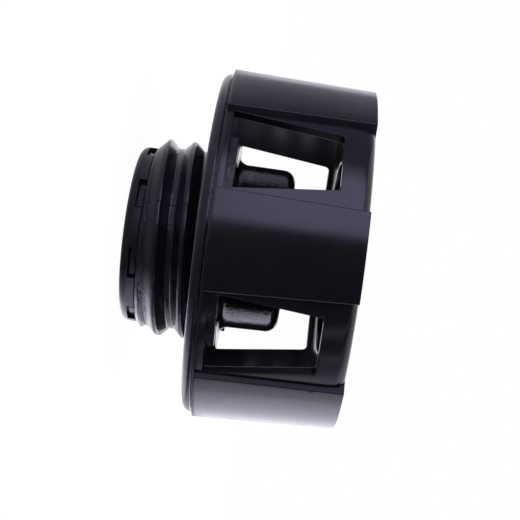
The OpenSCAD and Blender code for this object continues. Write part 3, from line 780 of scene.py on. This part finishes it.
class Graph:
    """A short way to build the node tree of one material."""

    def __init__(self, name):
        self.mat = bpy.data.materials.new(name)
        self.mat.use_nodes = True
        self.tree = self.mat.node_tree
        self.tree.nodes.clear()
        self.out = self.add("ShaderNodeOutputMaterial")
        self.coord = self.add("ShaderNodeTexCoord")

    def add(self, kind):
        return self.tree.nodes.new(kind)

    def link(self, a, b):
        self.tree.links.new(a, b)

    def noise(self, scale, detail=3.0, rough=0.5, stretch=(1, 1, 1)):
        mapping = self.add("ShaderNodeMapping")
        mapping.inputs["Scale"].default_value = stretch
        self.link(self.coord.outputs["Object"], mapping.inputs["Vector"])
        node = self.add("ShaderNodeTexNoise")
        node.inputs["Scale"].default_value = scale
        node.inputs["Detail"].default_value = detail
        node.inputs["Roughness"].default_value = rough
        self.link(mapping.outputs["Vector"], node.inputs["Vector"])
        return node.outputs["Fac"]

    def spread(self, value, low, high, from_low=0.3, from_high=0.7):
        """Maps a range, by default most of what noise gives, to another."""
        node = self.add("ShaderNodeMapRange")
        node.inputs["From Min"].default_value = from_low
        node.inputs["From Max"].default_value = from_high
        node.inputs["To Min"].default_value = low
        node.inputs["To Max"].default_value = high
        self.link(value, node.inputs["Value"])
        return node.outputs["Result"]

    def maths(self, operation, a, b=None):
        node = self.add("ShaderNodeMath")
        node.operation = operation
        for socket, value in zip(node.inputs, (a, b)):
            if isinstance(value, (int, float)):
                socket.default_value = value
            elif value is not None:
                self.link(value, socket)
        return node.outputs[0]

    def plus(self, a, b):
        return self.maths("ADD", a, b)

    def times(self, a, b):
        return self.maths("MULTIPLY", a, b)

    def over(self, value, limit):
        return self.maths("GREATER_THAN", value, limit)

    def under(self, value, limit):
        return self.maths("LESS_THAN", value, limit)

    def between(self, value, low, high):
        return self.times(self.over(value, low), self.under(value, high))

    def mix(self, fac, a, b):
        node = self.add("ShaderNodeMix")
        node.data_type = "RGBA"
        self.link(fac, node.inputs[0])
        for socket, value in ((node.inputs[6], a), (node.inputs[7], b)):
            if isinstance(value, tuple):
                socket.default_value = (*value, 1.0)
            else:
                self.link(value, socket)
        return node.outputs[2]

    def mottle(self, scale, detail, dark, light):
        """A colour that drifts between two tones."""
        return self.mix(self.spread(self.noise(scale, detail), 0, 1), dark, light)

    def split(self, name):
        """The x, y and z of a kind of coordinates."""
        node = self.add("ShaderNodeSeparateXYZ")
        self.link(self.coord.outputs[name], node.inputs[0])
        return node.outputs

    def reach(self, x, y):
        """The distance from the cap's axis."""
        return self.maths("SQRT", self.plus(self.times(x, x), self.times(y, y)))

    def bump(self, height, strength, depth, normal=None):
        node = self.add("ShaderNodeBump")
        node.inputs["Strength"].default_value = strength
        node.inputs["Distance"].default_value = depth * MM
        self.link(height, node.inputs["Height"])
        if normal is not None:
            self.link(normal, node.inputs["Normal"])
        return node.outputs["Normal"]

    def bevel(self, radius):
        node = self.add("ShaderNodeBevel")
        node.samples = 4
        node.inputs["Radius"].default_value = radius * MM
        return node.outputs["Normal"]

    def specks(self, scale, size, share):
        """Sparse small dots: 1 on a dot, 0 elsewhere."""
        cells = self.add("ShaderNodeTexVoronoi")
        cells.inputs["Scale"].default_value = scale
        self.link(self.coord.outputs["Object"], cells.inputs["Vector"])
        near = self.under(cells.outputs["Distance"], size)
        color = self.add("ShaderNodeSeparateColor")
        self.link(cells.outputs["Color"], color.inputs[0])
        return self.times(near, self.under(color.outputs[0], share))

    def surface(self, color, rough, normal, metallic=0.0, tint=None):
        node = self.add("ShaderNodeBsdfPrincipled")
        node.inputs["Metallic"].default_value = metallic
        node.inputs["IOR"].default_value = 1.5
        if tint is not None:
            node.inputs["Specular Tint"].default_value = (*tint, 1.0)
        self.link(color, node.inputs["Base Color"])
        self.link(rough, node.inputs["Roughness"])
        if normal is not None:
            self.link(normal, node.inputs["Normal"])
        self.link(node.outputs["BSDF"], self.out.inputs["Surface"])
        return self.mat


# Masks of the black plastics

# A dull mask says where the plastic is rougher, an edge mask where a painted highlight
# lightens an edge. Limits lie a little past the face or edge that they are meant for.

SHADE_PITCH = 8.2
SHADE_TURN = 3.487


def drum_dull(graph):
    """Soft bands of shade inside the drum, and the drag-marked sides of its lugs and
    windows, which face neither along nor away from the axis."""
    x, y, z = graph.split("Object")
    reach = graph.reach(x, y)
    inside = graph.times(graph.under(reach, (BORE_R + 0.15) * MM),
                         graph.under(z, (CEILING_Z - 0.3) * MM))
    turn = graph.plus(graph.times(z, 2 * pi / (SHADE_PITCH * MM)), SHADE_TURN)
    bands = graph.spread(graph.maths("SINE", turn), 0.58, 1.35, -0.9, 0.9)
    nx, ny, nz = graph.split("Normal")
    outwards = graph.maths("DIVIDE", graph.plus(graph.times(x, nx), graph.times(y, ny)),
                           reach)
    side = graph.times(graph.under(graph.maths("ABSOLUTE", outwards), 0.5),
                       graph.under(graph.maths("ABSOLUTE", nz), 0.6))
    return graph.maths("MAXIMUM", graph.times(inside, bands), graph.times(side, 1.4))


def drum_edge_highlight(graph):
    """Painted highlight on the inner edges of the drum's windows and, faintly, on its
    lower edge.
    """
    x, y, z = graph.split("Object")
    bore = graph.spread(z, BORE_R * MM, CEILING_R * MM, LOCATING_TOP * MM, CEILING_Z * MM)
    depth = graph.maths("SUBTRACT", graph.reach(x, y), bore)
    window = graph.times(
        graph.between(depth, 0.1 * EDGE * MM, 1.25 * EDGE * MM),
        graph.between(z, (SILL_Z + 0.3) * MM, (WINDOW_TOP + 0.5) * MM))
    low = graph.under(z, (DRUM_Z + 0.1) * MM)
    return graph.plus(graph.times(low, 0.15), graph.times(window, 0.95))


def housing_dull(graph):
    """The whole valve housing."""
    return graph.over(graph.split("Object")[2], (PAD_TOP + 1) * MM)


def rim_edge_highlight(graph):
    """Painted highlight on the lower edge of the flange's rim."""
    x, y, z = graph.split("Object")
    edge = graph.times(graph.under(z, (RIM_FOOT_Z + 0.12) * MM),
                       graph.over(graph.reach(x, y), (RIM_IN + 0.4) * MM))
    return graph.times(edge, 0.95)


# The materials themselves

DUST = (0.22, 0.22, 0.26)
# The colour of the painted highlights on edges
PAINTED_EDGE_HIGHLIGHT = (0.5, 0.5, 0.56)
VIOLET_SHEEN = (0.78, 0.76, 1.0)


def black_plastic(name, dark, light, rough, peel, wave, grain, dust,
                  edge=None, dull=None, duller=0.0):
    """Moulded black plastic with orange peel (its strength is peel and its depth wave),
    fine grain, handling haze and dust. edge is the mask of a painted highlight, which
    lightens the colour along edges, and dull a mask of places that are rougher by duller."""
    graph = Graph(name)
    color = graph.mottle(260, 4.0, dark, light)
    haze = graph.spread(graph.noise(55, 5.0, 0.6), rough - 0.03, rough + 0.04)
    roughness = graph.plus(haze, graph.spread(graph.noise(1500, 2.0), -0.015, 0.015))
    specks = graph.plus(graph.specks(190, 0.022, dust),
                        graph.specks(420, 0.035, dust * 0.5))
    color = graph.mix(graph.times(specks, 0.8), color, DUST)
    roughness = graph.plus(roughness, graph.times(specks, 0.4))
    # Painted highlight: the edge mask lightens the colour along edges
    if edge:
        color = graph.mix(edge(graph), color, PAINTED_EDGE_HIGHLIGHT)
    if dull:
        roughness = graph.plus(roughness, graph.times(dull(graph), duller))
    normal = graph.bump(graph.noise(1100, 2.0), peel, wave)
    normal = graph.bump(graph.noise(5200, 2.0), grain, 0.004, normal)
    return graph.surface(color, roughness, normal, tint=VIOLET_SHEEN)


def rubber(name):
    graph = Graph(name)
    color = graph.mottle(700, 4.0, (0.016, 0.016, 0.017), (0.032, 0.032, 0.034))
    roughness = graph.spread(graph.noise(1800), 0.62, 0.8)
    normal = graph.bump(graph.noise(4200), 0.5, 0.02, graph.bevel(0.12))
    return graph.surface(color, roughness, normal)


def plain_plastic(name, dark, light, rough):
    graph = Graph(name)
    color = graph.mottle(300, 4.0, dark, light)
    roughness = graph.spread(graph.noise(900), rough - 0.05, rough + 0.06)
    normal = graph.bump(graph.noise(2400), 0.25, 0.02, graph.bevel(0.1))
    return graph.surface(color, roughness, normal)


def foam(name):
    """Open cells, with painted shade that darkens their hollow middles."""
    graph = Graph(name)
    cells = graph.add("ShaderNodeTexVoronoi")
    cells.inputs["Scale"].default_value = 1400
    graph.link(graph.coord.outputs["Object"], cells.inputs["Vector"])
    pore = graph.spread(cells.outputs["Distance"], 0.0, 1.0, 0.1, 0.6)
    # Painted shade: darker where the cells sink in
    color = graph.mix(pore, (0.06, 0.058, 0.05), (0.26, 0.25, 0.21))
    roughness = graph.spread(pore, 0.85, 0.95, 0, 1)
    normal = graph.bump(cells.outputs["Distance"], 1.0, 0.25)
    return graph.surface(color, roughness, normal)


def metal(name, dark, light, rough, edge, stretch=(1, 1, 1)):
    """Bare metal with fine lines, which stretch draws out along an axis."""
    graph = Graph(name)
    lines = graph.noise(1500, 4.0, 0.6, stretch)
    color = graph.mix(graph.spread(lines, 0, 1), dark, light)
    roughness = graph.spread(graph.noise(420, 4.0), rough - 0.07, rough + 0.09)
    normal = graph.bump(lines, 0.25, 0.01, graph.bevel(edge))
    return graph.surface(color, roughness, normal, metallic=1.0)


def woven(name):
    """A plain weave of fine wire, from two crossed waves, with painted shade where the
    wires lie low.
    """
    graph = Graph(name)
    waves = []
    for axis in ("X", "Y"):
        wave = graph.add("ShaderNodeTexWave")
        wave.bands_direction = axis
        wave.inputs["Scale"].default_value = 800
        graph.link(graph.coord.outputs["Object"], wave.inputs["Vector"])
        waves.append(wave.outputs["Fac"])
    height = graph.maths("MAXIMUM", *waves)
    # Painted shade: darker where the weave lies low
    color = graph.mix(graph.spread(height, 0, 1, 0.4, 0.9),
                      (0.04, 0.04, 0.04), (0.62, 0.61, 0.58))
    roughness = graph.spread(graph.noise(900), 0.3, 0.45)
    normal = graph.bump(height, 0.8, 0.15)
    return graph.surface(color, roughness, normal, metallic=0.9)


DRUM = black_plastic("drum_black", (0.0064, 0.0063, 0.0078), (0.0088, 0.0086, 0.0108),
                     rough=0.18, peel=0.03, wave=0.03, grain=0.05, dust=0.35,
                     edge=drum_edge_highlight, dull=drum_dull, duller=0.24)
BODY = black_plastic("body_black", (0.0094, 0.0108, 0.0136), (0.0124, 0.014, 0.0172),
                     rough=0.1, peel=0.7, wave=0.1, grain=0.05, dust=0.25,
                     edge=rim_edge_highlight, dull=housing_dull, duller=0.06)
RING = black_plastic("ring_black", (0.0048, 0.0048, 0.0062), (0.0068, 0.0067, 0.0086),
                     rough=0.24, peel=0.05, wave=0.03, grain=0.06, dust=0.35)
RUBBER = rubber("gasket_rubber")
INNER = plain_plastic("baffle_plastic", (0.04, 0.04, 0.045), (0.07, 0.07, 0.075), 0.5)
NATURAL = plain_plastic("natural_plastic", (0.62, 0.6, 0.53), (0.74, 0.72, 0.65), 0.42)
FOAM = foam("filter_foam")
ZINC = metal("zinc_plate", (0.5, 0.49, 0.46), (0.68, 0.67, 0.63), rough=0.32, edge=0.1)
WIRE = metal("spring_wire", (0.36, 0.36, 0.37), (0.56, 0.56, 0.57), rough=0.28, edge=0.05)
BRASS = metal("turned_brass", (0.66, 0.48, 0.18), (0.8, 0.62, 0.28), rough=0.24, edge=0.08,
              stretch=(0.3, 0.3, 4))
SCREEN = woven("screen_weave")


# Pieces

def wear(obj, material):
    obj.data.materials.clear()
    obj.data.materials.append(material)


def stands_for(obj, node, body, material):
    """Dresses an object and puts it in a node's place."""
    wear(obj, material)
    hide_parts(node)
    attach(obj, body)
    return obj


stands_for(build_drum(), "grip_drum", "cap", DRUM)
stands_for(build_body(), "closure_body", "cap", BODY)
stands_for(build_locating_walls(), "closure_body", "cap", BODY)
stands_for(build_tongues(), "closure_body", "cap", RING)
stands_for(build_ring(), "end_ring", "cap", RING)

coil = build_coil("pressure_spring_wire", mean_r=12.2, wire_r=0.6, z=22.4, height=13.0,
                  turns=5)
spring = stands_for(coil, "pressure_spring", "cap", WIRE)
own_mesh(spring)
coil = build_coil("vacuum_spring_wire", mean_r=2.6, wire_r=0.3, z=22.4, height=5.2,
                  turns=5)
spring = stands_for(coil, "vacuum_spring", "pressure_valve", WIRE)
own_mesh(spring)

for node_name, look in (
        ("flange_gasket", RUBBER), ("cage_o_ring", RUBBER), ("pressure_seal", RUBBER),
        ("vacuum_seal", RUBBER), ("splash_baffle", INNER), ("valve_cage", NATURAL),
        ("element_core", NATURAL), ("element_lower_cap", NATURAL),
        ("element_upper_cap", NATURAL), ("breather_element", FOAM),
        ("pressure_plate", ZINC), ("spring_washer", ZINC), ("vent_screen", SCREEN),
        ("vacuum_disc", BRASS), ("stem_clip", WIRE)):
    wear(nodes[node_name], look)


# Camera

# Worked out from the ellipses of the circles in the photograph. The camera's own axes
# are right, down and forward.

# The picture's width in pixels, and a pixel's width at the cap's axis in mm
PICTURE = 520
PIXEL = 0.2589
# The focal length in pixels
FOCAL = 1110.4
# The point of the axis that is seen straight above the picture's middle: its height on
# the cap, and how far above the middle it is, in pixels
SEEN_Z = 127.5
SEEN_RISE = 10.87
# How far the cap's axis is turned down to the right and leans away from the camera, and
# how far the cap is turned on its axis
ROLL = radians(7.23)
LEAN = radians(-0.43)
TURN = radians(0.6)
SENSOR = 36.0


def add_camera():
    axis = Vector((cos(ROLL) * cos(LEAN), sin(ROLL) * cos(LEAN), sin(LEAN)))
    up = Vector((sin(ROLL), -cos(ROLL), 0))
    near = axis.cross(up)
    part_y = -(cos(TURN) * near + sin(TURN) * up)
    part_x = sin(TURN) * near - cos(TURN) * up
    part = (part_x, part_y, axis)
    to_camera = -Vector((0, -SEEN_RISE, FOCAL)) * PIXEL * MM
    seen = Vector((0, 0, SEEN_Z * PIXEL * MM))
    place = Vector([p.dot(to_camera) for p in part]) + seen
    right, down, forward = (Vector([p[i] for p in part]) for i in range(3))
    data = bpy.data.cameras.new("camera")
    data.sensor_width = SENSOR
    data.lens = SENSOR * FOCAL / PICTURE
    data.clip_start = 0.01
    camera = add_object("camera", data)
    facing = Matrix((right, -down, -forward)).transposed()
    camera.matrix_world = Matrix.Translation(place) @ facing.to_4x4()
    SCENE.camera = camera


add_camera()


# Studio

# From here on lengths are in metres. In the photograph's view, up is -X and the camera's
# side is -Y.

AIM = Vector((0, 0, 0.03))
LAMP_REACH = 0.64
LAMP_Z = 0.05
LAMP_H = 0.9
CARD_H = 0.75
TALL_CARD_H = 1.6
FLOOR_HALF = 4
# The floor lies a little below the end ring, so that the two never share a plane
FLOOR_Z = -2e-5


def area_lamp(name, angle, width, radiance, color):
    """An upright lamp beside the cap that shines on its middle."""
    lamp = bpy.data.lights.new(name, "AREA")
    lamp.shape = "RECTANGLE"
    lamp.size = width
    lamp.size_y = LAMP_H
    lamp.energy = radiance * pi * width * LAMP_H
    lamp.color = color
    place = Vector(polar(angle, LAMP_REACH, LAMP_Z))
    back = (place - AIM).normalized()
    side = Vector((0, 0, 1)).cross(back).normalized()
    facing = Matrix((side, back.cross(side), back)).transposed()
    add_object(name, lamp).matrix_world = Matrix.Translation(place) @ facing.to_4x4()


def card(name, start, end, height, color):
    """An upright studio card that lamps and reflections see, but not the camera."""
    mesh = bpy.data.meshes.new(name)
    corners = [(*start, 0), (*end, 0), (*end, height), (*start, height)]
    mesh.from_pydata(corners, [], [[0, 1, 2, 3]])
    obj = add_object(name, mesh)
    graph = Graph(name + "_paint")
    paint = graph.mottle(6, 2.0, tuple(c * 0.92 for c in color), color)
    roughness = graph.spread(graph.noise(30, 2.0), 0.75, 0.85)
    wear(obj, graph.surface(paint, roughness, None))
    obj.visible_camera = False


def seen_directly(tree):
    """1 for camera, glossy and transmission rays."""
    path = tree.nodes.new("ShaderNodeLightPath")
    total = path.outputs["Is Camera Ray"]
    for name in ("Is Glossy Ray", "Is Transmission Ray"):
        most = tree.nodes.new("ShaderNodeMath")
        most.operation = "MAXIMUM"
        tree.links.new(total, most.inputs[0])
        tree.links.new(path.outputs[name], most.inputs[1])
        total = most.outputs[0]
    return total


def add_world():
    """White for the camera and for reflections, and a plain level for the rest."""
    world = bpy.data.worlds.new("studio")
    SCENE.world = world
    world.use_nodes = True
    tree = world.node_tree
    tree.nodes.clear()
    blend = tree.nodes.new("ShaderNodeMixShader")
    tree.links.new(seen_directly(tree), blend.inputs[0])
    for socket, color, strength in ((blend.inputs[1], (0.8, 0.8, 0.82, 1), 0.55),
                                    (blend.inputs[2], (1, 1, 1, 1), 1.0)):
        background = tree.nodes.new("ShaderNodeBackground")
        background.inputs["Color"].default_value = color
        background.inputs["Strength"].default_value = strength
        tree.links.new(background.outputs[0], socket)
    out = tree.nodes.new("ShaderNodeOutputWorld")
    tree.links.new(blend.outputs[0], out.inputs["Surface"])


def mirrored_tone(graph):
    """What the end ring, the neck and the rim reflect of the floor, as the photograph
    shows it: dim on the camera's side, darker below the axis and bright further down."""
    x, y, _ = graph.split("Object")
    forward = graph.maths("MAXIMUM", graph.times(y, -1.0), 0.002)
    slant = graph.maths("DIVIDE", x, forward)
    below = graph.spread(x, 0.0, 1.0, -0.01, 0.012)
    above = graph.spread(x, 1.0, 0.0, -0.045, -0.012)
    bright = graph.times(graph.spread(slant, 0.0, 1.0, 0.5, 1.7),
                         graph.spread(graph.reach(x, y), 1.0, 0.0, 0.07, 0.085))
    behind = graph.spread(y, 0.0, 1.0, 0.0, 0.03)
    tone = graph.mix(below, (0.36, 0.37, 0.41), (0.14, 0.14, 0.15))
    tone = graph.mix(above, tone, (0.6, 0.6, 0.66))
    tone = graph.mix(bright, tone, (2.1, 2.1, 2.35))
    return graph.mix(behind, tone, (0.95, 0.95, 1.0))


def choose(graph, ray, otherwise, shader):
    """One shader for a kind of ray and another for the rest."""
    path = graph.add("ShaderNodeLightPath")
    node = graph.add("ShaderNodeMixShader")
    graph.link(path.outputs[ray], node.inputs[0])
    graph.link(otherwise, node.inputs[1])
    graph.link(shader, node.inputs[2])
    return node.outputs[0]


def floor_paint():
    """White with a faint shadow to the camera, a graded tone in reflections and white
    paint to the light."""
    graph = Graph("floor_white")
    paint = graph.add("ShaderNodeBsdfDiffuse")
    white = graph.mottle(3, 2.0, (0.78, 0.78, 0.78), (0.8, 0.8, 0.8))
    graph.link(white, paint.inputs["Color"])
    glow = graph.add("ShaderNodeEmission")
    glow.inputs["Strength"].default_value = 0.95
    shadow = graph.add("ShaderNodeBsdfDiffuse")
    shadow.inputs["Color"].default_value = (0.2, 0.2, 0.2, 1)
    seen = graph.add("ShaderNodeAddShader")
    graph.link(shadow.outputs[0], seen.inputs[0])
    graph.link(glow.outputs[0], seen.inputs[1])
    mirrored = graph.add("ShaderNodeEmission")
    graph.link(mirrored_tone(graph), mirrored.inputs["Color"])
    shader = choose(graph, "Is Glossy Ray", paint.outputs[0], mirrored.outputs[0])
    shader = choose(graph, "Is Camera Ray", shader, seen.outputs[0])
    graph.link(shader, graph.out.inputs["Surface"])
    return graph.mat


def add_floor():
    mesh = bpy.data.meshes.new("floor")
    signs = ((-1, -1), (1, -1), (1, 1), (-1, 1))
    corners = [(x * FLOOR_HALF, y * FLOOR_HALF, FLOOR_Z) for x, y in signs]
    mesh.from_pydata(corners, [], [[0, 1, 2, 3]])
    floor = add_object("floor", mesh)
    wear(floor, floor_paint())


area_lamp("top_softbox", 236, 0.46, radiance=1.5, color=(0.74, 0.72, 1.0))
area_lamp("roof_edge", 119, 0.26, radiance=0.4, color=(0.72, 0.66, 1.0))
area_lamp("table_near", 9, 0.16, radiance=0.6, color=(0.86, 0.85, 1.0))
area_lamp("table_far", 40, 0.56, radiance=1.6, color=(0.86, 0.85, 1.0))
card("front_flag", (-0.16, -0.72), (0.8, -0.72), TALL_CARD_H, (0.17, 0.17, 0.175))
card("low_flag", (0.8, -0.62), (0.68, -0.28), TALL_CARD_H, (0.25, 0.25, 0.27))
card("table_flag", (0.66, -0.24), (0.68, -0.06), CARD_H, (0.85, 0.85, 0.92))
card("roof_flag", (-0.66, -0.36), (-0.66, 0.16), CARD_H, (0.62, 0.62, 0.73))
card("roof_end", (-0.66, 0.16), (-0.44, 0.52), CARD_H, (0.96, 0.96, 1.0))
add_world()
add_floor()

SCENE.view_settings.view_transform = "Standard"
